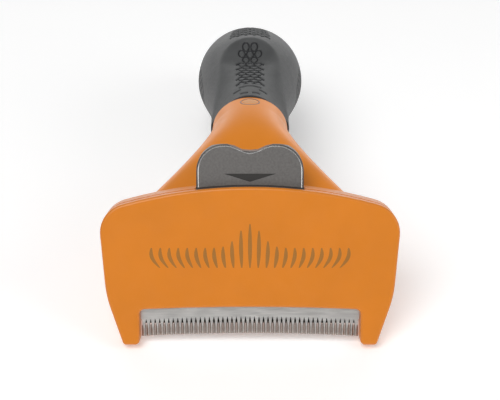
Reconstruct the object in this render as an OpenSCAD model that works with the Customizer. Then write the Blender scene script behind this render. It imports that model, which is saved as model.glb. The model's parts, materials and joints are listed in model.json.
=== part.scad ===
// Deshedding tool: a toothed steel comb blade between two skin guards, a spring-returned hair
// ejector behind the blade, and an arched handle with a soft grip and a scooped thumb rest.
//
// Two frames are used. The head frame has x across, y from the front face towards the handle and
// z up the face from the guard tips. The part's own frame leans the head frame back, so that
// the guard tips and the tail of the handle both touch z = 0. Millimetres and degrees.

/* [Head] */
// Widest distance across the head
head_width = 95.4; // [92:0.2:100]
// Height from the guard tips to the middle of the top edge
head_height = 51.6; // [50:0.2:54]
// Radius of the arched top edge
top_edge_radius = 150; // [120:5:200]
// Radius of the two upper corners
corner_radius = 9.5; // [6:0.5:12]
// Wall thickness of the front cover
cover_wall = 1.8; // [1.6:0.1:2]
// Depth of the seam between front cover and rear housing
seam_depth = 5; // [5:0.1:5.2]
// Depth of the groove along that seam
seam_groove = 0.4; // [0.2:0.1:0.5]
// Depth of the whole head
head_depth = 12.6; // [12.6:0.1:13]

/* [Comb blade] */
// Width of the toothed edge
blade_width = 69.4; // [60:0.2:70]
// Number of teeth
tooth_count = 48; // [36:1:56]
// Width of the slot between two teeth
slot_width = 0.42; // [0.3:0.02:0.6]
// Thickness of the blade
blade_thickness = 1.4; // [1.2:0.1:1.4]
// How much higher the middle of the edge is than its ends
edge_bow = 1; // [0:0.1:1.4]

/* [Ejector] */
// How far the button pushes the wiper down over the teeth
ejector_travel = 6; // [5:0.1:6]
// Width of the button
button_width = 34; // [30:0.5:36]
// Height of the button above the head's top edge
button_rise = 13.2; // [12:0.2:15]
// Radius of the guide pins
pin_radius = 0.8; // [0.7:0.05:0.9]
// Radius of the spring wire
wire_radius = 0.25; // [0.2:0.01:0.28]
// Turns of each return spring
spring_turns = 7; // [5:1:8]

/* [Handle] */
// Radius of the grip at its collar
collar_radius = 13.7; // [13:0.1:14.5]
// Half the width of the palm swell
swell_half_width = 19.8; // [18:0.2:22]
// Half the width of the tail
tail_half_width = 14.5; // [13:0.1:16]
// Length of the grip along its centre line, up to the centre of the round tail
grip_length = 94; // [92:1:100]
// Slope of the handle where it leaves the neck, in the head frame
collar_slope = 26; // [24:1:28]
// Slope of the handle at its tail, in the head frame
tail_slope = -8; // [-12:1:-4]
// Depth of the soft step from neck to grip
collar_step = 0.6; // [0.4:0.1:0.8]
// Wall thickness of the handle frame
frame_wall = 2; // [1.6:0.1:2.2]

/* [Hidden] */

$fn = 48;
eps = 0.01;                // overshoot of a cutting shape
gap = 0.3;                 // clearance between the ejector and the parts around it
half_head = head_width / 2;
half_blade = blade_width / 2;

// Head outline
guard_inner = half_blade + 0.5;      // inner side of each guard
guard_tip = 0.8;                     // height of the guards' lower ends
window_top = 13.1;                   // lower edge of the cover, in the middle
window_drop = 0.8;                   // how much lower that edge is at its ends
leg_depth = 8;                       // thickness of a guard
seam_groove_width = 1.7;
nose_radius = 2.5;                   // rounding of a guard's rear lower edge

// Depths inside the head
clamp_front = cover_wall + 0.1;
blade_front = clamp_front + 1.2;
blade_back = blade_front + blade_thickness;
wiper_front = blade_back + gap;
plate_front = wiper_front + 0.5;     // the carriage's plate
plate_back = plate_front + 1.8;
cavity_back = head_depth - 1.6;

// Blade
blade_top = 25.5;
root_height = 9.1;                   // where the slots between the teeth begin
tip_height = 4;
blade_shoulder = 0.2;                // how far the blade reaches past its outermost teeth
screw_height = 21;                   // the blade's three screws
screw_xs = [-27, 0, 27];
boss_radius = 2.4;

// Ejector
wiper_bottom = 7;                    // the rubber's thin edge, just behind the teeth
foot_bottom = 10.5;                  // the rubber's foot, below the carriage's plate
plate_bottom = 12.5;
plate_top = 34;
stem_top = 56;
stem_half = 11;
button_screw_x = 7;
button_screw_z = 50;
button_front = 3.6;
button_back = plate_back + 1.8;
button_wall = 1.5;
spring_x = 13.5;
spring_y = plate_back + 2;
spring_radius = 1.45;                // to the middle of the wire
ledge_low = [14, 16];                // heights of the ledge below each spring
tab_z = [28.5, 30.5];                // the carriage's tabs, which the springs push up
ledge_high = [tab_z[1] + gap, tab_z[1] + 2 + gap];

// Fasteners
cover_screw_spots = [[41.4, 38], [-41.4, 38], [40.4, 20], [-40.4, 20]];
neck_screw_spots = [[24, 43.5], [-24, 43.5], [24, 33.5], [-24, 33.5]];
frame_screw_stations = [14, 42, 70];

// Handle, as stations along a centre line
neck_start = [head_depth, 36.9];
collar = [52.4, 65];
neck_handle = 18.7;                  // length of the tangent that shapes the neck's centre line
neck_flare = 37.3;                   // half the neck's width at the head
neck_half_height = [12.2, 15];       // above and below the centre line, at the head
neck_end_radius = collar_radius - collar_step;
shoulder = 5;                        // straight stretch of the neck in front of the collar
neck_end = collar - shoulder * [cos(collar_slope), sin(collar_slope)];
rest_height = 12.4;                  // thumb rest's floor above the centre line
rest_foot = 26;                      // station where that floor turns up into its wall
rest_end = 60;                       // station past the crest, where the rest has ended
frame_steps = 16;                    // facets round each half of the frame
core_half = [10, 7.4, 11];           // half width, height above and depth below the centre line
core_end = grip_length - 9;
core_stations = [for (i = [0:9]) core_end * i / 9];
badge_station = -2.4;                // just in front of the collar
badge_half = [3.5, 1.85];
arc_angle = collar_slope - tail_slope;
arc_radius = grip_length * 180 / (PI * arc_angle);
arc_centre = collar + arc_radius * [sin(collar_slope), -cos(collar_slope)];

// Lean of the head frame, so that guard noses and tail stand on z = 0
tail_centre = arc_point(grip_length);
tail_radius = tail_half_width;
nose_centre = [leg_depth - nose_radius, guard_tip + nose_radius];
reach = tail_centre - nose_centre;
lean = atan2(reach[1], reach[0]) - asin((tail_radius - nose_radius) / norm(reach));
nose_low = nose_centre[0] * sin(lean) - nose_centre[1] * cos(lean) + nose_radius;
back_end = tail_centre[0] * cos(lean) + tail_centre[1] * sin(lean) + tail_radius;
middle_y = back_end / 2;

// ---- Functions ----

function unit(v) = v / norm(v);
function clamp01(v) = min(max(v, 0), 1);
function smooth(v) = let (t = clamp01(v)) t * t * (3 - 2 * t);
function mix(a, b, t) = a * (1 - t) + b * t;
function smooth_min(a, b, r) = min(a, b) - pow(max(r - abs(a - b), 0), 2) / (4 * r);

// Points that round the corner p between a and b with radius r
function fillet(a, p, b, r, n = 12) =
    let (
        u = unit(a - p),
        v = unit(b - p),
        half = acos(u * v) / 2,
        centre = p + unit(u + v) * r / sin(half),
        from = p + u * r / tan(half) - centre,
        to = p + v * r / tan(half) - centre,
        start = atan2(from[1], from[0]),
        turn = atan2(from[0] * to[1] - from[1] * to[0], from * to)
    )
    [for (i = [0:n]) centre + r * [cos(start + turn * i / n), sin(start + turn * i / n)]];

// A closed path of [x, y, radius] corners, rounded
function rounded(path) =
    let (n = len(path), at = [for (p = path) [p[0], p[1]]])
    [for (i = [0:n - 1]) each path[i][2] > 0
        ? fillet(at[(i + n - 1) % n], at[i], at[(i + 1) % n], path[i][2])
        : [at[i]]];

// A half outline on x >= 0 and its mirror image, as one closed path
function with_mirror(half) =
    concat(half, [for (i = [len(half) - 1:-1:0]) if (half[i][0] > eps)
        [-half[i][0], half[i][1], half[i][2]]]);

function top_edge(x) = head_height - top_edge_radius + sqrt(pow(top_edge_radius, 2) - x * x);
function window_edge(x) = window_top - window_drop * pow(x / half_blade, 2);

head_path = rounded(with_mirror(concat(
    [for (x = [0:5:40]) [x, top_edge(x), 0]],
    [
        [half_head + 0.3, top_edge(half_head), corner_radius],
        [half_head - 2, 16.6, 36],
        [half_head - 7.35, guard_tip, 1.2],
        [guard_inner, guard_tip, 1.5],
        [guard_inner, window_edge(guard_inner), 1.8]
    ],
    [for (x = [30:-5:0]) [x, window_edge(x), 0]]
)));

// Handle centre line: [y, z] and slope at length s from the collar
function arc_slope(s) = collar_slope - arc_angle * s / grip_length;
function arc_point(s) = arc_centre + arc_radius * [-sin(arc_slope(s)), cos(arc_slope(s))];

// A section of the handle: point on a superellipse at angle a, in the head frame
function on_section(centre, slope, half, a, power) =
    let (
        c = cos(a), s = sin(a),
        x = half[0] * sign(c) * pow(abs(c), 2 / power),
        h = (s > 0 ? half[1] : half[2]) * sign(s) * pow(abs(s), 2 / power)
    )
    place(centre, slope, x, h);
function place(centre, slope, x, h) =
    [x, centre[0] - h * sin(slope), centre[1] + h * cos(slope)];

// Neck: t runs from 0 at the head to 1 at the shoulder
function neck_centre(t) =
    let (knee = neck_end - neck_handle * [cos(collar_slope), sin(collar_slope)])
    (1 - t) * (1 - t) * neck_start + 2 * t * (1 - t) * knee + t * t * neck_end;
function neck_half_width(t) =
    neck_end_radius + 8.8 * (1 - t) + (neck_flare - neck_end_radius - 8.8) * pow(1 - t, 2.3);
function neck_power(t) = mix(3.2, 2, smooth(t));
function neck_point(t, a, inset) =
    let (h = [for (h = neck_half_height) mix(h, neck_end_radius, t) - inset])
    on_section(neck_centre(t), collar_slope * smooth(t), [neck_half_width(t) - inset, h[0], h[1]], a,
        neck_power(t));
function collar_point(s, a, inset) =
    let (r = neck_end_radius - inset, c = collar + s * [cos(collar_slope), sin(collar_slope)])
    place(c, collar_slope, r * cos(a), r * sin(a));
function core_point(s, a, inset) =
    on_section(arc_point(s), arc_slope(s), [for (h = core_half) h - inset], a, 2);

// Grip: half width, height above and depth below its centre line
function swell(s, low, high, tail, start = 6, run = 46) =
    s < 54 ? mix(low, high, smooth((s - start) / run)) : mix(high, tail, smooth((s - 56) / 38));
function tail_cap(s) = sqrt(max(1 - pow(max(s - grip_length, 0) / tail_radius, 2), 0));
function grip_half(s) = tail_cap(s) * [
    swell(s, collar_radius, swell_half_width, tail_half_width),
    swell(s, collar_radius, swell_half_width - 0.1, tail_half_width - 0.5, 3, 41),
    swell(s, collar_radius, swell_half_width - 1.2, tail_half_width)
];
// Thumb rest: height of its floor, and how the floor curls up across the grip
function rest_floor(s) =
    rest_height + (s < rest_foot ? 1.25 * pow(1 - s / rest_foot, 2) : 0.046 * pow(s - rest_foot, 2));
function rest_curl(s) = mix(-0.067, 0.021, smooth((s + 4) / 40));
function grip_point(s, a) =
    let (
        half = grip_half(s),
        x = half[0] * cos(a),
        h = (sin(a) > 0 ? half[1] : half[2]) * sin(a),
        rest = rest_floor(s) + rest_curl(s) * x * x
    )
    place(arc_point(min(s, grip_length)), arc_slope(min(s, grip_length)), x,
        sin(a) > 0 && s < rest_end ? smooth_min(h, rest, 1.6) : h)
    + max(s - grip_length, 0) * [0, cos(tail_slope), sin(tail_slope)];

// ---- Shared shapes ----

// Leans the head frame back on to the surface
module on_table() {
    translate([0, -middle_y, nose_low]) rotate([-lean, 0, 0]) children();
}

// A 2D shape in x and z, made solid from depth y0 to y1
module slab(y0, y1) {
    translate([0, y1, 0]) rotate([90, 0, 0]) linear_extrude(y1 - y0) children();
}

module block(x, y, z) {
    translate([x[0], y[0], z[0]]) cube([x[1] - x[0], y[1] - y[0], z[1] - z[0]]);
}

module rod_y(spot, r, y) {
    translate([spot[0], y[0], spot[1]]) rotate([-90, 0, 0]) cylinder(r = r, h = y[1] - y[0]);
}

module rod_z(spot, r, z) {
    translate([spot[0], spot[1], z[0]]) cylinder(r = r, h = z[1] - z[0]);
}

// A solid through rings of points, closed at both ends
module skin(rings) {
    n = len(rings[0]);
    last = len(rings) - 1;
    sides = [for (i = [0:last - 1], j = [0:n - 1]) let (
        a = i * n + j, b = i * n + (j + 1) % n, c = b + n, d = a + n
    ) each [[a, b, c], [a, c, d]]];
    ends = [for (j = [0:n / 2 - 2]) let (q = [j, j + 1, n - 2 - j, n - 1 - j]) each
        [[q[3], q[2], q[1], q[0]], [for (v = q) last * n + v]]];
    polyhedron([for (ring = rings) each ring], concat(sides, ends), convexity = 8);
}

// A screw along +y from its head at y = 0: pan head, or countersunk, with a cross recess
module screw(length, r, head_r, head_h, sunk = false) {
    difference() {
        rotate([-90, 0, 0]) union() {
            cylinder(r1 = head_r, r2 = sunk ? r : head_r, h = head_h);
            translate([0, 0, head_h - eps]) cylinder(r = r, h = length + eps);
        }
        for (turn = [0, 90]) rotate([0, turn, 0])
            block([-head_r * 0.6, head_r * 0.6], [-eps, head_h * 0.55], [-0.2, 0.2]);
    }
}

// ---- Head ----

module head_plate(y0, y1) {
    slab(y0, y1) polygon(head_path);
}

module cavity(y0, y1, floor_z) {
    slab(y0, y1) intersection() {
        offset(delta = -cover_wall) polygon(head_path);
        translate([-half_head, floor_z]) square([head_width, head_height]);
    }
}

// Passage for blade, carriage and button, open at the top and the bottom of the head
module passage(y0, y1, button_y1) {
    block([-half_blade - gap, half_blade + gap], [y0, y1], [-eps, 20]);
    block([-button_width / 2 - gap, button_width / 2 + gap], [y0, button_y1],
        [head_height - 12, head_height + 2]);
}

// Groove round the outer side of the front cover, where it meets the rear housing
module seam_cut() {
    slab(seam_depth - seam_groove_width, seam_depth + eps) difference() {
        translate([-half_head - 1, -1]) square([head_width + 2, head_height + 2]);
        offset(delta = -seam_groove) polygon(head_path);
        translate([-half_blade - 3, -2]) square([blade_width + 6, 20]);
    }
}

module front_cover() {
    color("darkorange") on_table() difference() {
        union() {
            difference() {
                head_plate(0, seam_depth);
                cavity(cover_wall, seam_depth + eps, 15);
                passage(cover_wall, seam_depth + eps, seam_depth + eps);
                seam_cut();
            }
            for (spot = cover_screw_spots) rod_y(spot, 2.8, [cover_wall - eps, 9.4]);
        }
        for (spot = cover_screw_spots) rod_y(spot, 1.01, [3, 9.4 + eps]);
    }
}

// Side profile of the housing's rear face, as y and z
housing_profile = rounded([
    [seam_depth, -1, 0], [seam_depth, head_height + 1, 0], [head_depth, head_height + 1, 0],
    [head_depth, 14.5, 3], [9.5, 9, 3], [leg_depth, guard_tip, nose_radius]
]);

module rear_housing() {
    color("darkorange") on_table() difference() {
        union() {
            difference() {
                intersection() {
                    head_plate(seam_depth, head_depth);
                    rotate([90, 0, 90]) linear_extrude(head_width + 4, center = true)
                        polygon(housing_profile);
                }
                cavity(seam_depth - eps, cavity_back, 16);
                passage(seam_depth - eps, plate_back + gap, button_back + gap);
            }
            for (x = screw_xs) rod_y([x, screw_height], boss_radius, [blade_back, cavity_back + eps]);
            for (spot = cover_screw_spots) rod_y(spot, 3.2, [9.5, cavity_back + eps]);
            for (x = [-spring_x, spring_x], z = [ledge_low, ledge_high])
                block([x - 3, x + 3], [plate_back + gap, cavity_back + eps], z);
        }
        for (x = screw_xs) rod_y([x, screw_height], 0.91, [blade_back - eps, 9]);
        for (spot = cover_screw_spots) {
            rod_y(spot, 1.15, [9.5 - eps, head_depth]);
            rod_y(spot, 2.1, [10.7, head_depth + eps]);
        }
        for (spot = neck_screw_spots) rod_y(spot, 1.15, [cavity_back - eps, head_depth + eps]);
        for (x = [-spring_x, spring_x])
            rod_z([x, spring_y], pin_radius + 0.01, [ledge_low[0] + 0.5, ledge_high[1] + eps]);
    }
}

// ---- Blade ----

// Height of a line across the blade that is bowed like its edge
function bowed(z, x) = z - edge_bow * pow(x / half_blade, 2);

// Corners of slot i: it opens to full width over its first third, then runs to the tips
function slot_path(i) = let (
    pitch = blade_width / tooth_count,
    x = -half_blade + pitch * i,
    w = slot_width / 2
) [
    [x - w, bowed(tip_height, x)],
    [x - w, bowed(mix(root_height, tip_height, 0.4), x)],
    [x, bowed(root_height, x)],
    [x + w, bowed(mix(root_height, tip_height, 0.4), x)],
    [x + w, bowed(tip_height, x)]
];

// The blade's end: a shoulder behind the guard, and below it the outermost tooth
blade_end = [
    [half_blade + blade_shoulder, blade_top],
    [half_blade + blade_shoulder, bowed(root_height, half_blade)],
    [half_blade, bowed(mix(root_height, tip_height, 0.4), half_blade)],
    [half_blade, tip_height - edge_bow]
];

module comb_blade() {
    color("silver") on_table() slab(blade_front, blade_back) difference() {
        polygon(concat(
            [for (end = blade_end) [-end[0], end[1]]],
            [for (i = [1:tooth_count - 1]) each slot_path(i)],
            [for (i = [len(blade_end) - 1:-1:0]) blade_end[i]]
        ));
        for (x = screw_xs) translate([x, screw_height]) circle(r = 1);
    }
}

module blade_clamp_bar() {
    color("dimgray") on_table() difference() {
        slab(clamp_front, blade_front) polygon(rounded([
            [-31.5, 17, 1.5], [31.5, 17, 1.5], [31.5, 25, 1.5], [-31.5, 25, 1.5]
        ]));
        for (x = screw_xs) translate([x, clamp_front - eps, screw_height]) rotate([-90, 0, 0]) {
            cylinder(r1 = 2.02, r2 = 1, h = 1.1);
            cylinder(r = 1, h = 2);
        }
    }
}

module blade_screws() {
    color("gray") on_table() for (x = screw_xs)
        translate([x, clamp_front + 0.05, screw_height]) screw(5.4, 0.9, 1.9, 1, sunk = true);
}

module cover_screws() {
    color("gray") on_table() for (spot = cover_screw_spots)
        translate([spot[0], 12, spot[1]]) rotate([180, 0, 0]) screw(7, 1, 1.9, 1.3);
}

// ---- Ejector ----

// Front view of the button: two lobes with a dip for the thumb between them
module button_outline(inset) {
    low = head_height - 8;
    offset(delta = -inset) polygon(rounded(with_mirror([
        [0, head_height + button_rise - 2.3, 0],
        [2.5, head_height + button_rise - 2.1, 0],
        [5, head_height + button_rise - 0.9, 0],
        [7.2, head_height + button_rise, 0],
        [button_width / 2, head_height + button_rise, 8.5],
        [button_width / 2, low, 0],
        [0, low, 0]
    ])));
}

module eject_button() {
    color("gray") on_table() difference() {
        union() {
            difference() {
                slab(button_front, button_back) button_outline(0);
                slab(button_front + button_wall, button_back + eps) union() {
                    button_outline(1.6);
                    translate([-button_width / 2 + 1.6, head_height - 9])
                        square([button_width - 3.2, 8]);
                }
            }
            for (side = [-1, 1])
                rod_y([side * button_screw_x, button_screw_z], 2.2, [button_front + 1, plate_front]);
        }
        for (side = [-1, 1])
            rod_y([side * button_screw_x, button_screw_z], 0.81, [button_front + 0.9, plate_front + eps]);
        // the ledge falls away towards the back
        translate([0, button_front + 1.2, head_height + button_rise]) rotate([-12, 0, 0])
            block([-20, 20], [0, 12], [0, 6]);
    }
}

module button_screws() {
    color("gray") on_table() for (side = [-1, 1])
        translate([side * button_screw_x, plate_back + 0.95, button_screw_z]) rotate([180, 0, 0])
            screw(2.6, 0.8, 1.5, 0.9);
}

module eject_carriage() {
    color("darkslategray") on_table() difference() {
        union() {
            block([-half_blade + 0.8, half_blade - 0.8], [plate_front, plate_back],
                [plate_bottom, plate_top]);
            block([-stem_half, stem_half], [plate_front, plate_back], [plate_top - 1, stem_top]);
            for (x = [-spring_x, spring_x])
                block([x - 2.6, x + 2.6], [plate_back - eps, cavity_back - gap], tab_z);
        }
        for (x = screw_xs) hull() for (dz = [0, ejector_travel])
            rod_y([x, screw_height + dz], boss_radius + gap, [plate_front - eps, plate_back + eps]);
        for (x = [-spring_x, spring_x])
            rod_z([x, spring_y], pin_radius + 0.06, [tab_z[0] - eps, tab_z[1] + eps]);
        for (side = [-1, 1]) rod_y([side * button_screw_x, button_screw_z], 0.9,
            [plate_front - eps, plate_back + eps]);
    }
}

module hair_wiper() {
    color("black") on_table() union() {
        block([-half_blade + 0.5, half_blade - 0.5], [wiper_front, plate_front], [wiper_bottom, 18]);
        block([-half_blade + 0.5, half_blade - 0.5], [plate_front - eps, plate_back],
            [foot_bottom, plate_bottom]);
    }
}

module guide_pin(x) {
    color("silver") on_table() rod_z([x, spring_y], pin_radius, [ledge_low[0] + 0.5, ledge_high[1]]);
}

module guide_pin_left() { guide_pin(-spring_x); }
module guide_pin_right() { guide_pin(spring_x); }

// A helix of round wire between the lower ledge and a tab
module return_spring(x) {
    steps = 14;
    low = ledge_low[1] + wire_radius + 0.02;
    high = tab_z[0] - wire_radius - 0.02;
    color("silver") on_table() translate([x, spring_y, 0]) skin([
        for (i = [0:steps * spring_turns]) let (
            a = 360 * i / steps,
            z = mix(low, high, i / (steps * spring_turns))
        ) [for (k = [0:5]) let (r = spring_radius + wire_radius * cos(60 * k))
            [r * cos(a), r * sin(a), z + wire_radius * sin(60 * k)]]
    ]);
}

module return_spring_left() { return_spring(-spring_x); }
module return_spring_right() { return_spring(spring_x); }

// ---- Handle ----

// One half of the frame: neck and core as one open shell. side is 1 above, -1 below
module frame_shell(side) {
    steps = frame_steps;
    turn = function(i) side * 180 * i / steps;
    ts = [for (i = [0:9]) i / 9];
    outer = concat(
        [for (t = ts) [for (i = [0:steps]) neck_point(t, turn(i), 0)]],
        [[for (i = [0:steps]) collar_point(0, turn(i), 0)]],
        [for (s = core_stations) [for (i = [0:steps]) core_point(s + eps, turn(i), 0)]]
    );
    inner = concat(
        [for (t = ts) [for (i = [steps:-1:0]) neck_point(t, turn(i), frame_wall)]],
        [[for (i = [steps:-1:0]) collar_point(-frame_wall, turn(i), frame_wall)]],
        [for (s = core_stations) [for (i = [steps:-1:0]) core_point(s + eps, turn(i), frame_wall)]]
    );
    rings = [for (k = [0:len(outer) - 1]) concat(outer[k], inner[k])];
    skin(side > 0 ? rings : [for (ring = rings) [for (i = [len(ring) - 1:-1:0]) ring[i]]]);
}

// Flange that closes the neck at the head and carries the neck screws' bosses
module neck_flange(side) {
    slab(head_depth, head_depth + 2) polygon([for (i = [0:frame_steps])
        let (p = neck_point(0, side * 180 * i / frame_steps, frame_wall - gap)) [p[0], p[2]]
    ]);
    for (spot = neck_screw_spots) if (side * (spot[1] - neck_start[1]) > 0)
        rod_y(spot, 2.4, [head_depth + eps, head_depth + 6]);
}

// Puts a child's z axis on the section's normal at station s
module at_station(s) {
    translate([0, arc_point(s)[0], arc_point(s)[1]]) rotate([arc_slope(s), 0, 0]) children();
}

module handle_frame_upper() {
    color("darkorange") on_table() difference() {
        union() {
            frame_shell(1);
            neck_flange(1);
            for (s = frame_screw_stations) at_station(s) cylinder(r = 3, h = core_half[1] - 1);
        }
        for (spot = neck_screw_spots)
            rod_y(spot, 1.01, [head_depth - eps, head_depth + 5.6]);
        for (s = frame_screw_stations) at_station(s)
            translate([0, 0, -eps]) cylinder(r = 1.21, h = core_half[1] - 2);
        badge_shape(0.05);
    }
}

module handle_frame_lower() {
    color("darkorange") on_table() difference() {
        union() {
            frame_shell(-1);
            neck_flange(-1);
            for (s = frame_screw_stations) at_station(s)
                translate([0, 0, -core_half[2] + 1]) cylinder(r = 3.6, h = core_half[2] - 1);
        }
        for (spot = neck_screw_spots)
            rod_y(spot, 1.01, [head_depth - eps, head_depth + 5.6]);
        for (s = frame_screw_stations) at_station(s) {
            translate([0, 0, -core_half[2] - 1]) cylinder(r = 1.4, h = core_half[2] + 2);
            translate([0, 0, -core_half[2] - 1]) cylinder(r = 2.5, h = 5);
        }
    }
}

module neck_screws() {
    color("gray") on_table() for (spot = neck_screw_spots)
        translate([spot[0], cavity_back - 1, spot[1]]) screw(7, 1, 1.9, 1);
}

module frame_screws() {
    color("gray") on_table() for (s = frame_screw_stations) at_station(s)
        translate([0, 0, -core_half[2] + 2.6]) rotate([90, 0, 0]) screw(12, 1.2, 2.3, 1.4);
}

// Oval badge let into the top of the neck beside the collar, grown a little to cut its pocket
module badge_shape(grow) {
    at_station(badge_station) intersection() {
        translate([0, 0, neck_end_radius - 1.3 - grow]) linear_extrude(3)
            polygon([for (a = [0:10:350])
                [(badge_half[0] + grow) * cos(a), (badge_half[1] + grow) * sin(a)]]);
        rotate([90, 0, 0]) cylinder(r = neck_end_radius + 0.1 + grow, h = 12, center = true, $fn = 90);
    }
}

module neck_badge() {
    color("wheat") on_table() badge_shape(0);
}

// Soft sleeve over the core, closed at the tail, with the thumb rest scooped out of its top
module grip_sleeve() {
    n = 44;
    outer_ss = concat([for (s = [0:3:60]) s], [for (s = [64:4:grip_length]) s],
        [for (a = [15:15:75]) grip_length + tail_radius * sin(a)], [grip_length + tail_radius - 0.1]);
    color("dimgray") on_table() skin(concat(
        [[for (i = [0:n - 1]) core_point(core_end + 0.3, 360 * i / n, -gap / 3)]],
        [for (i = [9:-1:0]) [for (j = [0:n - 1]) core_point(core_stations[i], 360 * j / n, -gap / 3)]],
        [for (s = outer_ss) [for (i = [0:n - 1]) grip_point(s, 360 * i / n)]]
    ));
}

// ---- Nodes ----

front_cover();
rear_housing();
comb_blade();
blade_clamp_bar();
blade_screws();
cover_screws();
eject_button();
button_screws();
eject_carriage();
hair_wiper();
guide_pin_left();
guide_pin_right();
return_spring_left();
return_spring_right();
handle_frame_upper();
handle_frame_lower();
neck_screws();
frame_screws();
neck_badge();
grip_sleeve();
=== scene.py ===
"""Looks of a deshedding tool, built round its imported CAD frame.

Shapes are worked out in millimetres in the head frame: x across the head, y from its front face
towards the handle, z up the face from the guard tips. HEAD turns that into the part's own frame.
"""
import json
import math

import bmesh
import bpy
import numpy as np
from mathutils import Matrix, Vector


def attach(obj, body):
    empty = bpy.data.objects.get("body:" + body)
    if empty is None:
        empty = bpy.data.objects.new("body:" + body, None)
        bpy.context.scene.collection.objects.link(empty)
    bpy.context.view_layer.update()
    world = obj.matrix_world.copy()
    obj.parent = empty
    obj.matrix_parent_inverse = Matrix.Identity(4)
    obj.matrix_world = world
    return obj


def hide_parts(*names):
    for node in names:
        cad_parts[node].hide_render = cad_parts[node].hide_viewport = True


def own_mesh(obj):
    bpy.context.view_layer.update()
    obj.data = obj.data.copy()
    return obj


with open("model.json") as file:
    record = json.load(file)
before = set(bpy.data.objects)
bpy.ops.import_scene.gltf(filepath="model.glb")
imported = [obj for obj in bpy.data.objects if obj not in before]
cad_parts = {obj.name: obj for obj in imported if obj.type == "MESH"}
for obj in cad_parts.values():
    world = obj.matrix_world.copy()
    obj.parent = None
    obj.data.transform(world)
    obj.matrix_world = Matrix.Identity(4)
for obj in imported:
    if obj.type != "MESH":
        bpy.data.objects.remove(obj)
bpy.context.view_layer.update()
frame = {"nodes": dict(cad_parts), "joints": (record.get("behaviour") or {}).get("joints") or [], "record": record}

# ---- The head frame, from the ejector's joint and the mount on the front face ----

MM = 0.001
FACE_MARK = 32.0            # height of the mount on the front face
EJECTOR = frame["joints"][0]
PRESS = Vector(EJECTOR["axis"])
LEAN = math.atan2(-PRESS.y, -PRESS.z)
LEAN_BACK = Matrix.Rotation(-LEAN, 4, "X")
TIPS = Vector(frame["record"]["mounts"][0]["pos_m"]) + PRESS * FACE_MARK * MM
HEAD = Matrix.Translation(TIPS) @ LEAN_BACK @ Matrix.Scale(MM, 4)
TO_HEAD = HEAD.inverted()

# ---- Sizes that the part's source gives ----

HEAD_DEPTH = 12.6
SEAM_DEPTH = 5.0
HEAD_HEIGHT = 51.6
TOP_RADIUS = 150.0
COVER_WALL = 1.8
BUTTON_FRONT = 3.6
BUTTON_HALF = 17.0
BUTTON_RISE = 13.2
LOBE_RADIUS = 8.5
LOBE_DIP = 2.3
DIP_HALF = 7.4

BLADE_HALF = 34.7
BLADE_SHOULDER = 0.2
BLADE_FRONT = 3.1
BLADE_BACK = 4.5
BLADE_TOP = 25.5
TOOTH_COUNT = 48
ROOT_HEIGHT = 9.6
TIP_HEIGHT = 4.0
EDGE_BOW = 1.0

COLLAR = (52.4, 65.0)
COLLAR_RADIUS = 13.7
NECK_END_RADIUS = 13.1
COLLAR_SLOPE = 26.0
TAIL_SLOPE = -8.0
GRIP_LENGTH = 94.0
TAIL_RADIUS = 14.5
SWELL = 19.8
SHOULDER = 5.0
NECK_START = (12.6, 36.9)
NECK_HANDLE = 18.7
NECK_FLARE = 37.3           # half width where the neck meets the head
NECK_TAPER = 8.8            # the part of the flare that runs straight
FLARE_POWER = 2.3
HEAD_END_POWER = 3.2        # squareness of the neck's section at the head
NECK_HALF_HEIGHT = (12.2, 15.0)
FRAME_WALL = 2.0
CORE_HALF = (10.0, 7.4, 11.0)
CORE_END = GRIP_LENGTH - 9.0
LIP_RADIUS = 0.25
REST_HEIGHT = 12.4
REST_FOOT = 26.0
REST_END = 60.0
REST_BLEND = 1.0
BADGE_STATION = -2.4
BADGE_HALF = (3.5, 1.85)
BADGE_DROP = 0.5            # how much longer its lower half is

SPRING_X = 13.5
SPRING_Y = 9.0
SPRING_SPAN = (16.0, 28.5)
SPRING_RADIUS = 1.45
WIRE_RADIUS = 0.25
SPRING_TURNS = 7

# ---- Sizes of the finer detail ----

FACE_ROUNDING = 0.9
SLOT_ROUNDING = 0.55
SEAM_CHAMFER = 0.22
BACK_ROUNDING = 1.0
PANEL_EDGE = 0.5            # the button's rounded edge, round its face panel
PANEL_CHAMFER = 0.26
PANEL_PROUD = 0.4
PANEL_FOOT = 0.35           # the panel ends this far above the head's top edge, baring a strip of the dark body as painted shadow of the slot
PRINT_THICKNESS = 0.03
PRINT_FOOT = 25.9
SCALE_PITCH = 3.0           # lattice of scales on the grip: across, along, and how far each bows
SCALE_SPACING = 2.1
SCALE_RISE = 1.9
REST_ROW = 10.9             # stations of the first row in the thumb rest and on the crest
CREST_ROW = 41.9
FLANK_PITCH = 3.4
FLANK_SPACING = 2.6
FLANK_RISE = 2.2
STUD_RADIUS = 1.2


# ---- Curves and sections of the handle ----

def smooth(v):
    v = np.clip(v, 0, 1)
    return v * v * (3 - 2 * v)


def mix(a, b, t):
    return a * (1 - t) + b * t


def smooth_min(a, b, r):
    return np.minimum(a, b) - np.maximum(r - np.abs(a - b), 0) ** 2 / (4 * r)


ARC_ANGLE = COLLAR_SLOPE - TAIL_SLOPE
ARC_RADIUS = GRIP_LENGTH / math.radians(ARC_ANGLE)
ARC_CENTRE = (
    COLLAR[0] + ARC_RADIUS * math.sin(math.radians(COLLAR_SLOPE)),
    COLLAR[1] - ARC_RADIUS * math.cos(math.radians(COLLAR_SLOPE)),
)


def arc_slope(s):
    """Slope of the grip's centre line at length s from the collar, in radians."""
    return np.radians(COLLAR_SLOPE - ARC_ANGLE * s / GRIP_LENGTH)


def on_normal(centre_y, centre_z, slope, x, h):
    """Points at x across and h up the normal of a centre line."""
    return np.stack(
        np.broadcast_arrays(x, centre_y - h * np.sin(slope), centre_z + h * np.cos(slope)), -1
    )


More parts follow.
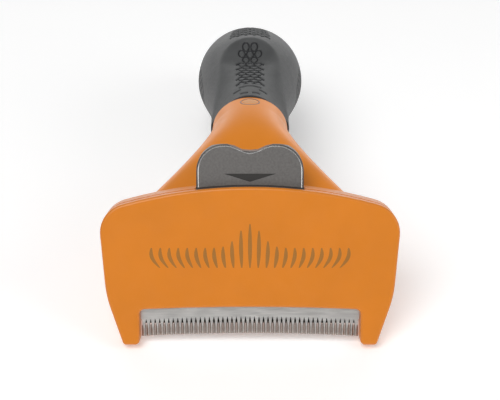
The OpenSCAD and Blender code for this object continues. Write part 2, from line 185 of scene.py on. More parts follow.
def at_station(s, x, h):
    slope = arc_slope(np.minimum(s, GRIP_LENGTH))
    past = np.maximum(s - GRIP_LENGTH, 0)
    centre_y = ARC_CENTRE[0] - ARC_RADIUS * np.sin(slope) + past * np.cos(slope)
    centre_z = ARC_CENTRE[1] + ARC_RADIUS * np.cos(slope) + past * np.sin(slope)
    return on_normal(centre_y, centre_z, slope, x, h)


def swell(s, low, high, tail, start=6, run=46):
    rising = mix(low, high, smooth((s - start) / run))
    return np.where(s < 54, rising, mix(high, tail, smooth((s - 56) / 38)))


def grip_surface(s, a):
    """The sleeve's smooth surface at station s and angle a, without its texture."""
    cap = np.sqrt(np.maximum(1 - (np.maximum(s - GRIP_LENGTH, 0) / TAIL_RADIUS) ** 2, 0))
    wide = cap * swell(s, COLLAR_RADIUS, SWELL, TAIL_RADIUS)
    above = cap * swell(s, COLLAR_RADIUS, SWELL - 0.1, TAIL_RADIUS - 0.5, 3, 41)
    below = cap * swell(s, COLLAR_RADIUS, SWELL - 1.2, TAIL_RADIUS)
    x = wide * np.cos(a)
    h = np.where(np.sin(a) > 0, above, below) * np.sin(a)
    rise = np.where(s < REST_FOOT, 1.25 * (1 - s / REST_FOOT) ** 2, 0.046 * (s - REST_FOOT) ** 2)
    curl = mix(-0.067, 0.021, smooth((s + 4) / 40))
    rest = REST_HEIGHT + rise + curl * x * x
    scooped = (np.sin(a) > 0) & (s < REST_END)
    return at_station(s, x, np.where(scooped, smooth_min(h, rest, REST_BLEND), h))


def core_surface(s, a, inset):
    half = [side - inset for side in CORE_HALF]
    h = np.where(np.sin(a) > 0, half[1], half[2]) * np.sin(a)
    return at_station(s, half[0] * np.cos(a), h)


def neck_surface(t, a, inset):
    """The neck at t, from 0 at the head to 1 at the shoulder, and angle a."""
    slope_end = math.radians(COLLAR_SLOPE)
    end = (
        COLLAR[0] - SHOULDER * math.cos(slope_end),
        COLLAR[1] - SHOULDER * math.sin(slope_end),
    )
    knee = (
        end[0] - NECK_HANDLE * math.cos(slope_end),
        end[1] - NECK_HANDLE * math.sin(slope_end),
    )
    centre = [
        (1 - t) ** 2 * NECK_START[i] + 2 * t * (1 - t) * knee[i] + t * t * end[i] for i in (0, 1)
    ]
    flare = NECK_FLARE - NECK_END_RADIUS - NECK_TAPER
    wide = NECK_END_RADIUS + NECK_TAPER * (1 - t) + flare * (1 - t) ** FLARE_POWER
    power = 2 / mix(HEAD_END_POWER, 2, smooth(t))
    above = mix(NECK_HALF_HEIGHT[0], NECK_END_RADIUS, t) - inset
    below = mix(NECK_HALF_HEIGHT[1], NECK_END_RADIUS, t) - inset
    c, s = np.cos(a), np.sin(a)
    x = (wide - inset) * np.sign(c) * np.abs(c) ** power
    h = np.where(s > 0, above, below) * np.sign(s) * np.abs(s) ** power
    return on_normal(centre[0], centre[1], slope_end * smooth(t), x, h)


def shoulder_surface(u, a, inset):
    """The neck's straight end, from u = 0 at the shoulder to 1 at the collar."""
    slope = math.radians(COLLAR_SLOPE)
    back = (u - 1) * SHOULDER
    r = NECK_END_RADIUS - inset
    centre_y = COLLAR[0] + back * math.cos(slope)
    centre_z = COLLAR[1] + back * math.sin(slope)
    return on_normal(centre_y, centre_z, slope, r * np.cos(a), r * np.sin(a))


# ---- Making pieces ----

def add_piece(name, mesh, material, body, stands_for):
    obj = bpy.data.objects.new(name, mesh)
    bpy.context.scene.collection.objects.link(obj)
    obj.data.materials.append(material)
    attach(obj, body)
    if stands_for:
        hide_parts(*stands_for)
    return obj


def piece(name, points, faces, material, body, stands_for=(), slot="body_plastic", sharp=40):
    """A piece from points in head millimetres. Edges over sharp degrees stay crisp."""
    mesh = bpy.data.meshes.new(name)
    place = np.array(HEAD)
    world = np.asarray(points, float).reshape(-1, 3) @ place[:3, :3].T + place[:3, 3]
    mesh.from_pydata(world.tolist(), [], faces)
    bm = bmesh.new()
    bm.from_mesh(mesh)
    bmesh.ops.recalc_face_normals(bm, faces=bm.faces)
    bm.to_mesh(mesh)
    bm.free()
    mesh.shade_smooth()
    mesh.set_sharp_from_angle(angle=math.radians(sharp))
    return add_piece(name, mesh, material, body, stands_for)


def grid_faces(rows, columns):
    """Quads between closed rings of points."""
    faces = []
    for i in range(rows - 1):
        low, high = i * columns, (i + 1) * columns
        for j in range(columns):
            k = (j + 1) % columns
            faces.append((low + j, low + k, high + k, high + j))
    return faces


def ring_piece(name, rings, *args, **options):
    """A closed solid through rings of points, with flat ends."""
    rings = np.asarray(rings)
    rows, columns = rings.shape[:2]
    faces = grid_faces(rows, columns)
    faces.append(tuple(range(columns))[::-1])
    faces.append(tuple((rows - 1) * columns + j for j in range(columns)))
    return piece(name, rings, faces, *args, **options)


def prisms(name, outlines, y0, y1, *args, **options):
    """One piece of flat plates, each from an outline in x and z."""
    bm = bmesh.new()
    for outline in outlines:
        back = [bm.verts.new((x, y1, z)) for x, z in outline]
        front = [bm.verts.new((x, y0, z)) for x, z in outline]
        bm.faces.new(front)
        bm.faces.new(back[::-1])
        for i in range(len(outline)):
            j = (i + 1) % len(outline)
            bm.faces.new((front[i], back[i], back[j], front[j]))
    bmesh.ops.recalc_face_normals(bm, faces=bm.faces)
    return finish_bmesh(name, bm, *args, **options)


def finish_bmesh(name, bm, material, body, stands_for=(), slot="body_plastic"):
    bm.transform(HEAD)
    mesh = bpy.data.meshes.new(name)
    bm.to_mesh(mesh)
    bm.free()
    mesh.shade_smooth()
    mesh.set_sharp_from_angle(angle=math.radians(32))
    obj = add_piece(name, mesh, material, body, stands_for)
    weighted = obj.modifiers.new("even_normals", "WEIGHTED_NORMAL")
    weighted.keep_sharp = True
    return obj


def cad_mesh(node):
    """The node's own shape in head millimetres, with its flat faces joined up again."""
    bm = bmesh.new()
    bm.from_mesh(frame["nodes"][node].data)
    bm.transform(TO_HEAD)
    bmesh.ops.remove_doubles(bm, verts=bm.verts, dist=0.004)
    bmesh.ops.dissolve_limit(
        bm, angle_limit=math.radians(0.5), verts=bm.verts, edges=bm.edges, delimit=set()
    )
    return bm


def edges_at_depth(bm, y, inside=None):
    """Edges that lie at depth y between faces that meet at a clear angle."""
    clear_angle = math.radians(35)
    found = []
    for e in bm.edges:
        if len(e.link_faces) != 2 or any(abs(v.co.y - y) > 0.02 for v in e.verts):
            continue
        if inside and not all(inside(v.co) for v in e.verts):
            continue
        if e.calc_face_angle(0) > clear_angle:
            found.append(e)
    return found


def round_edges(bm, edges, width, segments):
    bmesh.ops.bevel(
        bm, geom=edges, offset=width, segments=segments, profile=0.5, affect="EDGES",
        clamp_overlap=True,
    )


def keep_cad(node, material):
    """A CAD node whose shape is right keeps it, and only gets its finish."""
    data = frame["nodes"][node].data
    data.materials.clear()
    data.materials.append(material)


# ---- Materials ----

def shader_material(name, **inputs):
    material = bpy.data.materials.new(name)
    material.use_nodes = True
    shader = material.node_tree.nodes["Principled BSDF"]
    for key, value in inputs.items():
        shader.inputs[key.replace("_", " ")].default_value = value
    return material, shader


def object_noise(material, scale, detail=3.0, stretch=(1, 1, 1)):
    """Noise that lies still on the object. scale is in features a metre."""
    nodes, links = material.node_tree.nodes, material.node_tree.links
    coordinates = nodes.new("ShaderNodeTexCoord")
    mapping = nodes.new("ShaderNodeMapping")
    mapping.inputs["Scale"].default_value = stretch
    mapping.inputs["Rotation"].default_value = (LEAN, 0, 0)
    noise = nodes.new("ShaderNodeTexNoise")
    noise.inputs["Scale"].default_value = scale
    noise.inputs["Detail"].default_value = detail
    links.new(coordinates.outputs["Object"], mapping.inputs["Vector"])
    links.new(mapping.outputs["Vector"], noise.inputs["Vector"])
    return noise.outputs["Fac"]


def vary(material, socket, source, low, high):
    """Runs a noise from low to high into a colour or number socket."""
    nodes, links = material.node_tree.nodes, material.node_tree.links
    if socket.type == "RGBA":
        ramp = nodes.new("ShaderNodeValToRGB")
        ramp.color_ramp.elements[0].position = 0.3
        ramp.color_ramp.elements[1].position = 0.7
        ramp.color_ramp.elements[0].color = (*low, 1)
        ramp.color_ramp.elements[1].color = (*high, 1)
        links.new(source, ramp.inputs["Fac"])
        links.new(ramp.outputs["Color"], socket)
        return
    span = nodes.new("ShaderNodeMapRange")
    span.inputs["From Min"].default_value = 0.3
    span.inputs["From Max"].default_value = 0.7
    span.inputs["To Min"].default_value = low
    span.inputs["To Max"].default_value = high
    links.new(source, span.inputs["Value"])
    links.new(span.outputs["Result"], socket)


def add_bump(material, shader, source, strength, distance):
    nodes, links = material.node_tree.nodes, material.node_tree.links
    bump = nodes.new("ShaderNodeBump")
    bump.inputs["Strength"].default_value = strength
    bump.inputs["Distance"].default_value = distance
    links.new(source, bump.inputs["Height"])
    links.new(bump.outputs["Normal"], shader.inputs["Normal"])


def plastic(name, colour, roughness):
    """Moulded plastic: a slight flow mottle, uneven gloss and a fine spark-eroded grain."""
    spread = 0.03
    material, shader = shader_material(name, Roughness=roughness, IOR=1.5)
    mottle = object_noise(material, 60, 2)
    low = tuple(c * (1 - spread) for c in colour)
    high = tuple(c * (1 + spread) for c in colour)
    vary(material, shader.inputs["Base Color"], mottle, low, high)
    vary(material, shader.inputs["Roughness"], object_noise(material, 350),
         roughness - 0.04, roughness + 0.04)
    add_bump(material, shader, object_noise(material, 2600, 2), 0.15, 0.00003)
    return material


def metal(name, colour, roughness, stretch, scale=700, spread=0.1, metallic=1.0):
    """Ground or brushed metal: fine lines along one direction."""
    material, shader = shader_material(name, Metallic=metallic, Roughness=roughness)
    lines = object_noise(material, scale, 4, stretch)
    low = tuple(c * (1 - spread) for c in colour)
    high = tuple(min(c * (1 + spread), 1) for c in colour)
    vary(material, shader.inputs["Base Color"], lines, low, high)
    vary(material, shader.inputs["Roughness"], lines, roughness - 0.06, roughness + 0.06)
    add_bump(material, shader, lines, 0.12, 0.00002)
    return material


def rubber(name, colour, roughness):
    """Soft-touch rubber: cloudy colour, fine pebbled grain and little gloss."""
    material, shader = shader_material(
        name, Roughness=roughness, Specular_IOR_Level=0.22, Sheen_Weight=0.02,
    )
    cloud = object_noise(material, 140, 3)
    low = tuple(c * 0.9 for c in colour)
    high = tuple(c * 1.1 for c in colour)
    vary(material, shader.inputs["Base Color"], cloud, low, high)
    vary(material, shader.inputs["Roughness"], object_noise(material, 900),
         roughness - 0.05, roughness + 0.05)
    add_bump(material, shader, object_noise(material, 3200, 2), 0.35, 0.00006)
    return material


ORANGE = plastic("orange_plastic", (0.66, 0.2, 0.01), 0.36)
# the head's orange made a little lighter for the neck: painted light
LIT_NECK_ORANGE = plastic("neck_plastic_painted_light", (0.72, 0.222, 0.011), 0.36)
PRINT = plastic("print_ink", (0.34, 0.14, 0.018), 0.45)
BUTTON_FACE = metal("button_face", (0.195, 0.187, 0.18), 0.42, (1, 1, 1), 1500, 0.12, 0.75)
# dark grey button body; the strip of it left bare above the slot is painted shadow of the slot
BUTTON_BODY_AND_SLOT_SHADE = plastic("button_body_and_slot_shade", (0.07, 0.066, 0.062), 0.38)
ARROW_INK = plastic("arrow_ink", (0.022, 0.02, 0.018), 0.5)
BLADE_STEEL = metal("blade_steel", (0.8, 0.785, 0.76), 0.36, (0.12, 1, 1), 1500, 0.06)
# rougher ground finish of the tooth flanks; its darker, warm tint is painted shade and painted reflection
GROUND_STEEL_AND_SHADE = metal("ground_flanks_and_painted_shade", (0.38, 0.33, 0.3), 0.5, (1, 1, 0.2), 1800, 0.1)
POLISHED = metal("polished_chamfer", (0.92, 0.91, 0.9), 0.26, (1, 1, 1), 900, 0.02)
DARK_STEEL = metal("clamp_steel", (0.3, 0.3, 0.31), 0.45, (0.2, 1, 1))
SCREW_STEEL = metal("screw_steel", (0.5, 0.5, 0.51), 0.36, (1, 1, 1), 1200)
WIRE_STEEL = metal("wire_steel", (0.55, 0.55, 0.56), 0.3, (1, 1, 1), 1200)
BLACK_PLASTIC = plastic("carriage_plastic", (0.03, 0.03, 0.032), 0.45)
WIPER_RUBBER = rubber("wiper_rubber", (0.02, 0.02, 0.02), 0.6)
BADGE_RING = plastic("badge_ring", (0.3, 0.17, 0.1), 0.4)
BADGE_FACE = plastic("badge_face", (0.6, 0.27, 0.08), 0.3)
GRIP_RUBBER = rubber("grip_rubber", (0.074, 0.076, 0.077), 0.52)
# darker rubber for the grip's deep grooves and the collar lip's front face: painted shade in the recesses
GROOVE_SHADE_RUBBER = rubber("grip_groove_painted_shade", (0.03, 0.031, 0.033), 0.7)


# ---- Head ----

def front_cover():
    bm = cad_mesh("front_cover")
    round_edges(bm, edges_at_depth(bm, 0.0), FACE_ROUNDING, 5)
    slot = edges_at_depth(bm, COVER_WALL, inside=lambda p: p.z > 50 and abs(p.x) < 18)
    round_edges(bm, slot, SLOT_ROUNDING, 2)
    finish_bmesh("front_cover_shell", bm, ORANGE, "tool", ["front_cover"])


def outer_rim(p):
    """True on the head's outer outline, and not on the edges of its cavity."""
    return p.z > top_edge(p.x) - 0.3 or abs(p.x) > 36 and (abs(p.x) > 45 or p.z < 13)


def rear_housing():
    bm = cad_mesh("rear_housing")
    round_edges(bm, edges_at_depth(bm, SEAM_DEPTH, inside=outer_rim), SEAM_CHAMFER, 2)
    back = edges_at_depth(bm, HEAD_DEPTH, inside=lambda p: outer_rim(p) or p.z < 16)
    round_edges(bm, back, BACK_ROUNDING, 4)
    finish_bmesh("rear_housing_shell", bm, ORANGE, "tool", ["rear_housing"])


def print_motif():
    """A plain printed motif on the face: a fan of combed hairs that rises in the middle."""
    count, steps = 23, 14
    half_span, short, crown, crown_width, half_width = 28.5, 6.4, 7.6, 0.16, 0.62
    strands = []
    for i in range(count):
        along = i / (count - 1) * 2 - 1
        tall = short + crown * math.exp(-(along / crown_width) ** 2)
        foot, lean, curl = along * half_span, along * 2.6, along * 1.1
        left, right = [], []
        for k in range(steps + 1):
            t = k / steps
            x = foot + lean * t + curl * math.sin(math.pi * t)
            w = half_width * math.sin(math.pi * (0.04 + 0.92 * t)) ** 0.6
            left.append((x - w, PRINT_FOOT + tall * t))
            right.append((x + w, PRINT_FOOT + tall * t))
        strands.append(left + right[::-1])
    prisms("print_motif", strands, -PRINT_THICKNESS, 0.01, PRINT, "tool")


# ---- Blade ----

def bowed(z, x):
    return z - EDGE_BOW * (x / BLADE_HALF) ** 2


def comb_blade():
    """The blade with ground teeth. Each slot opens as a spindle and runs on as a fine gap, and the
    flanks beside it are ground away until only a ridge of the front face is left."""
    pitch = 2 * BLADE_HALF / TOOTH_COUNT
    levels = [0, 0.08, 0.16, 0.24, 0.31, 0.36, 0.41, 0.5, 0.6, 0.72, 0.86, 0.95, 1.0]
    gap = np.interp(levels, [0, 0.16, 0.31, 0.41, 1], [0, 0.18, 0.27, 0.09, 0.05])
    ridge = np.interp(levels, [0, 0.16, 0.41, 0.6, 1], [pitch / 2, 0.5, 0.26, 0.11, 0.05])
    ground = np.interp(levels, [0, 0.16, 0.41, 0.6, 1], [0, 0.12, 0.34, 0.42, 0.5])
    bevel = np.interp(levels, [0, 0.86, 1], [0, 0, 0.16])
    points, faces, flanks = [], [], []

    def tooth(centre):
        first = len(points)
        for u, slot, face, cut, tip in zip(levels, gap, ridge, ground, bevel):
            z = bowed(mix(ROOT_HEIGHT, TIP_HEIGHT, u), centre)
            wall = pitch / 2 - slot
            face = min(face, wall)
            front = BLADE_FRONT + tip
            points.extend([
                (centre - face, front, z), (centre - wall, BLADE_FRONT + max(cut, tip), z),
                (centre - wall, BLADE_BACK - tip, z), (centre + wall, BLADE_BACK - tip, z),
                (centre + wall, BLADE_FRONT + max(cut, tip), z), (centre + face, front, z),
            ])
        for i in range(len(levels) - 1):
            for j in range(6):
                a, b = first + i * 6 + j, first + i * 6 + (j + 1) % 6
                if j in (0, 4):
                    flanks.append(len(faces))
                faces.append((a, b, b + 6, a + 6))
        faces.append(tuple(len(points) - 6 + j for j in range(6)))
        return first

    starts = [tooth(-BLADE_HALF + pitch * (i + 0.5)) for i in range(TOOTH_COUNT)]
    end = BLADE_HALF + BLADE_SHOULDER
    ends = []
    for side, corner in ((-1, points[starts[0]]), (1, points[starts[-1] + 5])):
        ends.append(len(points))
        points += [(side * end, y, corner[2]) for y in (BLADE_FRONT, BLADE_BACK)]
    front = [ends[0]] + [s + j for s in starts for j in (0, 5)] + [ends[1]]
    back = [ends[0] + 1] + [s + j for s in starts for j in (2, 3)] + [ends[1] + 1]
    top = len(points)
    points += [(points[k][0], y, BLADE_TOP) for y in (BLADE_FRONT, BLADE_BACK) for k in front]
    count = len(front)
    for i in range(count - 1):
        a, b = top + i, top + count + i
        faces.append((front[i], front[i + 1], a + 1, a))
        faces.append((back[i + 1], back[i], b, b + 1))
        faces.append((a, a + 1, b + 1, b))
    faces.append((front[0], top, top + count, back[0]))
    faces.append((front[-1], back[-1], top + 2 * count - 1, top + count - 1))
    faces.append((front[0], back[0], back[1], front[1]))
    faces.append((front[-1], front[-2], back[-2], back[-1]))
    obj = piece("comb_blade_ground", points, faces, BLADE_STEEL, "tool", ["comb_blade"],
                "blade_steel", sharp=20)
    # the ground flanks take the darker steel: a real rougher finish with painted shade and reflection in its tint
    obj.data.materials.append(GROUND_STEEL_AND_SHADE)
    for index in flanks:
        obj.data.polygons[index].material_index = 1
    bm = bmesh.new()
    bm.from_mesh(obj.data)
    bmesh.ops.remove_doubles(bm, verts=bm.verts, dist=2e-6)
    bmesh.ops.recalc_face_normals(bm, faces=bm.faces)
    bm.to_mesh(obj.data)
    bm.free()


# ---- Button ----

def top_edge(x):
    """Height of the head's bowed top edge at x."""
    return HEAD_HEIGHT - TOP_RADIUS + math.sqrt(TOP_RADIUS ** 2 - x * x)


def lobed_outline(inset):
    """The button's front view inside its edge: two lobes with a dip between them above, and
    below it ends just above the slot, where the bare strip of dark body is painted shadow of the slot."""
    half = BUTTON_HALF - inset
    radius = LOBE_RADIUS - inset
    angles = np.linspace(math.pi / 2, 0, 14)
    right = []
    for x in np.linspace(0, half - radius, 12)[:-1]:
        dip = LOBE_DIP * (1 - smooth(x / DIP_HALF))
        right.append((x, HEAD_HEIGHT + BUTTON_RISE - dip - inset))
    corner = (half - radius, HEAD_HEIGHT + BUTTON_RISE - LOBE_RADIUS)
    right += [(corner[0] + radius * math.cos(a), corner[1] + radius * math.sin(a)) for a in angles]
    right += [(x, top_edge(x) + PANEL_FOOT) for x in np.linspace(half, 0, 8)]
    left = [(-x, z) for x, z in right[-2:0:-1]]
    return (right + left)[::-1]


def eject_button():
    bm = cad_mesh("eject_button")
    rim = edges_at_depth(bm, BUTTON_FRONT, inside=lambda p: p.z > 45)
    round_edges(bm, rim, PANEL_EDGE, 4)
    # the body's dark colour, bare below the panel, is painted shadow of the slot
    finish_bmesh(
        "eject_button_body", bm, BUTTON_BODY_AND_SLOT_SHADE, "ejector", ["eject_button"], "button_plastic"
    )
    plate = BUTTON_FRONT - PANEL_PROUD
    inner = lobed_outline(PANEL_EDGE + PANEL_CHAMFER)
    outer = lobed_outline(PANEL_EDGE)
    prisms("eject_button_plate", [inner], plate, BUTTON_FRONT + 0.1, BUTTON_FACE, "ejector",
           slot="button_plastic")
    rings = [[(x, y, z) for x, z in outline] for y, outline in (
        (BUTTON_FRONT + 0.1, outer), (BUTTON_FRONT - 0.04, outer), (plate + 0.02, inner),
        (plate + 0.06, lobed_outline(PANEL_EDGE + PANEL_CHAMFER + 0.1)),
    )]
    ring_piece("button_chamfer", rings, POLISHED, "ejector", slot="button_plastic", sharp=20)
    arrow = [(-8.35, 55.5), (8.35, 55.5), (0, 52.9)]
    prisms("button_arrow", [arrow], plate - PRINT_THICKNESS, plate + 0.1, ARROW_INK,
           "ejector", slot="button_plastic")


# ---- Springs ----

def return_spring(side, node):
    steps = 20
    count = steps * SPRING_TURNS
    low = SPRING_SPAN[0] + WIRE_RADIUS
    high = SPRING_SPAN[1] - WIRE_RADIUS
    rings = []
    for i in range(count + 1):
        turn = 2 * math.pi * i / steps
        z = mix(low, high, i / count)
        ring = []
        for k in range(8):
            around = 2 * math.pi * k / 8
            r = SPRING_RADIUS + WIRE_RADIUS * math.cos(around)
            ring.append((side * SPRING_X + r * math.cos(turn), SPRING_Y + r * math.sin(turn),
                         z + WIRE_RADIUS * math.sin(around)))
        rings.append(ring)
    spring = ring_piece(f"{node}_wire", rings, WIRE_STEEL, "tool", [node], "spring_steel")
    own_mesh(spring)


# ---- Handle ----

def half_frame(name, node, side):
    """One shell of neck and core: an outer and an inner skin that meet at the parting line."""
    steps = 64
    lip = 0.16
    angles = side * np.linspace(0, math.pi, steps + 1)

    def rings(inset, reverse):
        turn = angles[::-1] if reverse else angles
        ts = np.linspace(0, 1, 56)
        us = np.linspace(0, 1, 8)[1:]
        stations = np.linspace(0, CORE_END, 24)
        neck = [neck_surface(t, turn, inset) for t in ts]
        shoulder = [shoulder_surface(u, turn, inset) for u in us]
        core = [core_surface(s + 0.01, turn, inset) for s in stations]
        return np.array(neck + shoulder + core)

    outer, inner = rings(0, False), rings(FRAME_WALL, True)
    slope = math.radians(COLLAR_SLOPE)
    parting = np.array([0, -math.sin(slope), math.cos(slope)])
    for k in (0, -1):
        outer[:, k] += side * lip * parting
    both = np.concatenate([outer, inner], axis=1)
    if side < 0:
        both = both[:, ::-1]
    rows, columns = both.shape[:2]
    faces = grid_faces(rows, columns)
    for row, flip in ((0, True), (rows - 1, False)):
        for j in range(columns // 2 - 1):
            quad = [row * columns + q for q in (j, j + 1, columns - 2 - j, columns - 1 - j)]
            faces.append(tuple(quad[::-1] if flip else quad))
    # the neck takes the lighter copy of the orange, as painted light
    piece(name, both, faces, LIT_NECK_ORANGE, "tool", [node], sharp=50)


def scales(x, v, pitch, spacing, rise):
    """Distance from a lattice of staggered arcs, like the lower edges of fish scales."""
    nearest = np.full(np.shape(x), 9.0)
    row = np.floor(v / spacing)
    for step in (0, 1, 2):
        k = row + step
        across = np.mod(x / pitch + 0.5 * np.mod(k, 2) + 0.5, 1) - 0.5
        bow = np.sqrt(1 - 0.9 * (2 * across) ** 2)
        arc = k * spacing - rise * (bow - 0.3)
        slope = rise * 3.6 * np.abs(across) / (bow * pitch)
        nearest = np.minimum(nearest, np.abs(v - arc) / np.sqrt(1 + slope ** 2))
    return nearest


def groove(distance, width, depth):
    return depth * np.exp(-(distance / width) ** 2)


def window(v, low, high, soft):
    return smooth((v - low) / soft + 0.5) * smooth((high - v) / soft + 0.5)


def grip_relief(s, x, flank):
    """Depth of the sleeve's texture at station s, x across the top and flank round the sides."""
    out = np.abs(x)
    # scales along the floor of the thumb rest, with a dart at the end of every second row
    relief = groove(scales(x, s - REST_ROW, SCALE_PITCH, SCALE_SPACING, SCALE_RISE), 0.36, 0.6)
    relief = relief * window(s, 10.0, 29.0, 0.6) * window(out, -9, 4.1, 0.5)
    for row in REST_ROW + 2 * SCALE_SPACING * np.arange(5):
        dart = np.abs(s - row - 0.75 * (4.4 - out)) * 0.8
        relief = np.maximum(relief, groove(dart, 0.42, 0.6) * window(out, 3.8, 5.1, 0.5))
    # studs up its wall
    for stud_s, places in ((30.6, (-1.5, 1.5)), (33.1, (-3.0, 0, 3.0)), (35.7, (-1.5, 1.5))):
        for place in places:
            r = np.hypot(x - place, (s - stud_s) * 0.9)
            ring = groove(r - STUD_RADIUS, 0.27, 0.55) + groove(r, 0.2, 0.3)
            relief = np.maximum(relief * smooth((r - 0.9) / 0.4), ring)
    # slits beside the collar
    for line, low, high in (
        (8.2 - 0.02 * out ** 2, -9, 3.95),
        (6.1 - 0.28 * (out - 3.2), 3.2, 5.9),
        (3.2 - 0.08 * (out - 2.1) ** 2, 0.7, 3.5),
    ):
        relief = np.maximum(relief, groove(s - line, 0.34, 0.55) * window(out, low, high, 0.4))
    # scales on the crest behind the rest
    crest = groove(scales(x, s - CREST_ROW, SCALE_PITCH, SCALE_SPACING, SCALE_RISE), 0.4, 0.6)
    reach = 7.8 - 0.11 * np.abs(s - 44)
    relief = np.maximum(relief, crest * window(s, 41.4, 66, 0.6) * window(reach - out, 0, 99, 0.5))
    # short slits on both flanks
    side = groove(scales(flank, s, FLANK_PITCH, FLANK_SPACING, FLANK_RISE), 0.3, 0.4)
    side = side * window(np.mod(s / FLANK_SPACING, 1), 0.1, 0.8, 0.2)
    oval = 1 - ((s - 58) / 29) ** 2 - (flank / 8.5) ** 2
    return relief + side * smooth(oval * 4)


def grip_sleeve():
    def spaced(start, stop, step):
        return np.arange(start, stop, step)

    stations = np.concatenate([
        spaced(1.0, 38, 0.2), spaced(38, 67, 0.28), spaced(67, 88, 0.5),
        spaced(88, GRIP_LENGTH, 1.2),
        GRIP_LENGTH + TAIL_RADIUS * np.sin(np.linspace(0, math.pi / 2 - 0.06, 16)),
    ])
    fine, medium, coarse = math.radians(0.65), math.radians(1.2), math.radians(3)
    quarter = math.pi / 2
    angles = np.concatenate([
        spaced(-math.radians(35), math.radians(27), medium),
        spaced(math.radians(27), math.radians(62), coarse),
        spaced(math.radians(62), math.radians(118), fine),
        spaced(math.radians(118), math.radians(153), coarse),
        spaced(math.radians(153), math.radians(215), medium),
        spaced(math.radians(215), math.radians(325), coarse),
    ])
    s, a = np.meshgrid(stations, angles, indexing="ij")
    surface = grip_surface(s, a)
    step = 0.05
    along = grip_surface(s + step, a) - grip_surface(s - step, a)
    around = grip_surface(s, a + 0.003) - grip_surface(s, a - 0.003)
    normal = np.cross(along, around)
    normal /= np.linalg.norm(normal, axis=-1, keepdims=True) + 1e-12
    wide = swell(s, COLLAR_RADIUS, SWELL, TAIL_RADIUS)
    on_top = np.sin(a) > 0.3
    x = np.where(on_top, wide * np.cos(a), 99.0)
    turn = np.mod(a + quarter, 2 * math.pi) - quarter
    from_side = np.where(np.cos(a) > 0, turn, math.pi - turn)
    flank = np.where(np.abs(from_side) < math.radians(36), from_side * wide + 1.2, 99.0)
    relief = grip_relief(s, x, flank)
    skin = surface - normal * relief[..., None]

    # the rounded lip at the collar, and the bore that holds the handle's core
    inner = [core_surface(v, angles, -0.1) for v in np.linspace(CORE_END + 0.3, 0.0, 14)]
    lip = []
    for turn_lip in np.linspace(0, quarter, 5)[:-1]:
        radius_cut = LIP_RADIUS * (1 - math.sin(turn_lip))
        back = LIP_RADIUS * (1 - math.cos(turn_lip))
        ring = grip_surface(np.full_like(angles, back), angles)
        outward = ring - at_station(back, 0.0, 0.0)
        outward /= np.linalg.norm(outward, axis=-1, keepdims=True)
        lip.append(ring - outward * radius_cut)
    rings = np.concatenate([np.array(inner), np.array(lip), skin])
    tail_point = at_station(GRIP_LENGTH + TAIL_RADIUS, 0.0, 0.0)
    rows, columns = rings.shape[:2]
    faces = grid_faces(rows, columns)
    faces.append(tuple(range(columns))[::-1])
    tip = rows * columns
    last = (rows - 1) * columns
    faces += [(last + j, last + (j + 1) % columns, tip) for j in range(columns)]
    points = np.concatenate([rings.reshape(-1, 3), tail_point.reshape(1, 3)])
    sleeve = piece("grip_sleeve_textured", points, faces, GRIP_RUBBER, "tool", ["grip_sleeve"],
                   "grip_rubber", sharp=60)
    # the deep grooves and the first rings of the lip take the darker rubber as painted shade
    sleeve.data.materials.append(GROOVE_SHADE_RUBBER)
    first_lip = (len(inner) - 1) * columns
    deep_groove_shade = np.concatenate([np.zeros((rows - len(stations), columns)), relief]).ravel() > 0.2
    for polygon in sleeve.data.polygons[:(rows - 1) * columns]:
        lip_painted_shade = first_lip <= polygon.index < first_lip + 5 * columns
        if lip_painted_shade or sum(deep_groove_shade[v] for v in polygon.vertices) >= 3:
            polygon.material_index = 1


def neck_badge():
    """A plain oval inlay: a raised ring round a smooth field, bent to the neck's curve."""
    def oval_rings(profile, name, material, stands_for):
        rings = []
        for scale, lift in profile:
            ring = []
            for k in range(72):
                around = 2 * math.pi * k / 72
                x = (BADGE_HALF[0] + scale) * math.cos(around)
                reach = BADGE_HALF[1] + (0 if around < math.pi else BADGE_DROP)
                along = (reach + scale) * math.sin(around)
                h = math.sqrt(NECK_END_RADIUS ** 2 - x * x) + lift
                ring.append(at_station(BADGE_STATION + along, x, h))
            rings.append(ring)
        return ring_piece(name, rings, material, "tool", stands_for, "badge_plastic", sharp=50)

    oval_rings([(0, -0.9), (0, -0.02), (-0.05, 0.05), (-0.12, 0.09), (-0.5, 0.09), (-0.58, 0.04),
                (-0.6, -0.03), (-1.0, -0.03), (-1.7, -0.03)],
               "neck_badge_ring", BADGE_RING, ["neck_badge"])
    oval_rings([(-0.9, -0.3), (-0.9, 0.0), (-0.97, 0.04), (-1.1, 0.06), (-1.4, 0.06), (-1.7, 0.06)],
               "neck_badge_field", BADGE_FACE, [])


# ---- Studio ----

ROOM = 0.28                 # world light from the front and from above
BACKDROP = 2.1              # world light from low behind the object
BACKDROP_RAMP = (-0.3, 0.5) # where the one turns into the other, in depth less height
SIDE_FADE = 0.6             # how fast the backdrop fades towards the sides
FLOOR_GLOW = 0.22
LIGHTS = (                  # name, place, diameter, watts
    ("key", (-0.35, -0.75, 1.05), 0.9, 10),
    ("fill", (0.9, -0.5, 0.55), 0.7, 3),
)


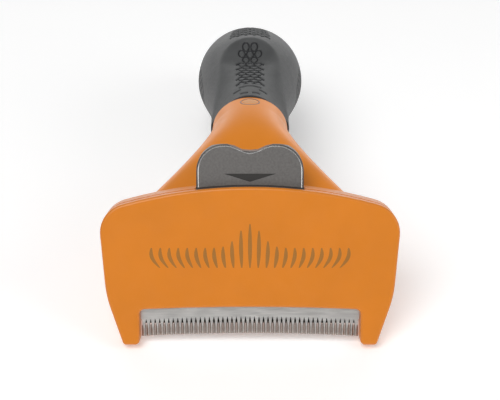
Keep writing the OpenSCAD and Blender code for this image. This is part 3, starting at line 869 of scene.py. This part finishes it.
def studio():
    floor_mesh = bpy.data.meshes.new("floor")
    reach = 3.0
    floor_mesh.from_pydata(
        [(-reach, -reach, 0), (reach, -reach, 0), (reach, reach, 0), (-reach, reach, 0)],
        [], [(0, 1, 2, 3)],
    )
    floor = bpy.data.objects.new("floor", floor_mesh)
    bpy.context.scene.collection.objects.link(floor)
    paper, _ = shader_material(
        "floor_paper", Base_Color=(0.92, 0.92, 0.92, 1), Roughness=0.9,
        Emission_Color=(1, 1, 1, 1), Emission_Strength=FLOOR_GLOW,
    )
    floor_mesh.materials.append(paper)

    bpy.context.scene.view_settings.view_transform = "Standard"
    world = bpy.data.worlds.new("studio")
    bpy.context.scene.world = world
    world.use_nodes = True
    nodes, links = world.node_tree.nodes, world.node_tree.links
    # a white backdrop low behind the object, and a dim room in front of and above it
    direction = nodes.new("ShaderNodeTexCoord")
    split = nodes.new("ShaderNodeSeparateXYZ")
    difference = nodes.new("ShaderNodeMath")
    difference.operation = "SUBTRACT"
    span = nodes.new("ShaderNodeMapRange")
    span.interpolation_type = "SMOOTHSTEP"
    span.inputs["From Min"].default_value = BACKDROP_RAMP[0]
    span.inputs["From Max"].default_value = BACKDROP_RAMP[1]
    span.inputs["To Min"].default_value = ROOM
    span.inputs["To Max"].default_value = BACKDROP
    links.new(direction.outputs["Generated"], split.inputs["Vector"])
    links.new(split.outputs["Y"], difference.inputs[0])
    links.new(split.outputs["Z"], difference.inputs[1])
    sideways = nodes.new("ShaderNodeMath")
    sideways.operation = "ABSOLUTE"
    fade = nodes.new("ShaderNodeMath")
    fade.operation = "MULTIPLY_ADD"
    fade.inputs[1].default_value = -SIDE_FADE
    links.new(split.outputs["X"], sideways.inputs[0])
    links.new(sideways.outputs["Value"], fade.inputs[0])
    links.new(difference.outputs["Value"], fade.inputs[2])
    links.new(fade.outputs["Value"], span.inputs["Value"])
    links.new(span.outputs["Result"], nodes["Background"].inputs["Strength"])
    nodes["Background"].inputs["Color"].default_value = (1, 1, 1, 1)

    middle = Vector((0, 0, 0.03))
    for name, place, size, watts in LIGHTS:
        data = bpy.data.lights.new(name, "AREA")
        data.shape = "DISK"
        data.size = size
        data.energy = watts
        light = bpy.data.objects.new(name, data)
        light.location = place
        light.rotation_euler = (middle - light.location).to_track_quat("-Z", "Y").to_euler()
        bpy.context.scene.collection.objects.link(light)


def camera():
    """Looks down the head's face from a little above its normal, with the handle behind it."""
    above_normal = math.radians(8.0)
    distance = 420.0
    below_top = 4.0
    focal_pixels = 1340.0
    image_width = 500
    sensor = 36.0
    towards = Vector((0, math.cos(above_normal), -math.sin(above_normal)))
    up = Vector((0, math.sin(above_normal), math.cos(above_normal)))
    eye = Vector((0, 0, HEAD_HEIGHT)) - towards * distance - up * below_top
    data = bpy.data.cameras.new("camera")
    data.sensor_width = sensor
    data.lens = focal_pixels * sensor / image_width
    data.clip_start = 0.01
    obj = bpy.data.objects.new("camera", data)
    bpy.context.scene.collection.objects.link(obj)
    turn = LEAN_BACK.to_3x3()
    x_axis, z_axis = Vector((1, 0, 0)), turn @ -towards
    y_axis = z_axis.cross(x_axis)
    rotation = Matrix((x_axis, y_axis, z_axis)).transposed().to_4x4()
    obj.matrix_world = Matrix.Translation(HEAD @ eye) @ rotation
    bpy.context.scene.camera = obj


front_cover()
rear_housing()
print_motif()
comb_blade()
eject_button()
for side, node in ((-1, "return_spring_left"), (1, "return_spring_right")):
    return_spring(side, node)
half_frame("neck_and_core_upper", "handle_frame_upper", 1)
half_frame("neck_and_core_lower", "handle_frame_lower", -1)
neck_badge()
grip_sleeve()
for node in ("blade_screws", "cover_screws", "button_screws", "neck_screws", "frame_screws"):
    keep_cad(node, SCREW_STEEL)
for node in ("guide_pin_left", "guide_pin_right"):
    keep_cad(node, WIRE_STEEL)
keep_cad("blade_clamp_bar", DARK_STEEL)
keep_cad("eject_carriage", BLACK_PLASTIC)
keep_cad("hair_wiper", WIPER_RUBBER)
studio()
camera()
